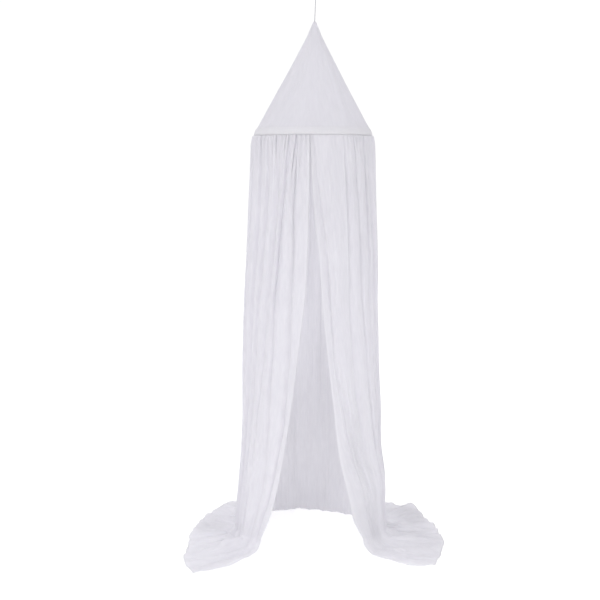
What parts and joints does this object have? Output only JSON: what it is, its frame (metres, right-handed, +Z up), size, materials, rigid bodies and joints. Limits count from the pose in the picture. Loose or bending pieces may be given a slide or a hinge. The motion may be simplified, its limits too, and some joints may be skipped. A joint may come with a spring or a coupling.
{
  "type": "mosquito net canopy with hoop",
  "caption": "Hanging bed canopy: a cloth cone sewn round a hoop, with a gathered skirt that opens at the front and trails on the floor, hung from one cord.",
  "frame": {"origin": "the top of the inside of the hanging loop, where the ceiling hook carries the canopy", "axes": "+Z up, +X to the canopy's right seen from the front, -Y to the front, where the skirt opens"},
  "size_m": [1.1256, 0.9337, 2.4157],
  "materials": {
    "crown_cloth": "matt, fine plain weave, slightly see-through",
    "skirt_cloth": "matt, soft crinkled weave, slightly see-through",
    "hoop_tube": "smooth, satin",
    "cord_cotton": "matt, twisted"
  },
  "bodies": {
    "root": {"crown": "crown_cloth", "hoop": "hoop_tube", "skirt": "skirt_cloth", "cord": "cord_cotton", "knot": "cord_cotton", "loop": "cord_cotton"}
  },
  "joints": []
}
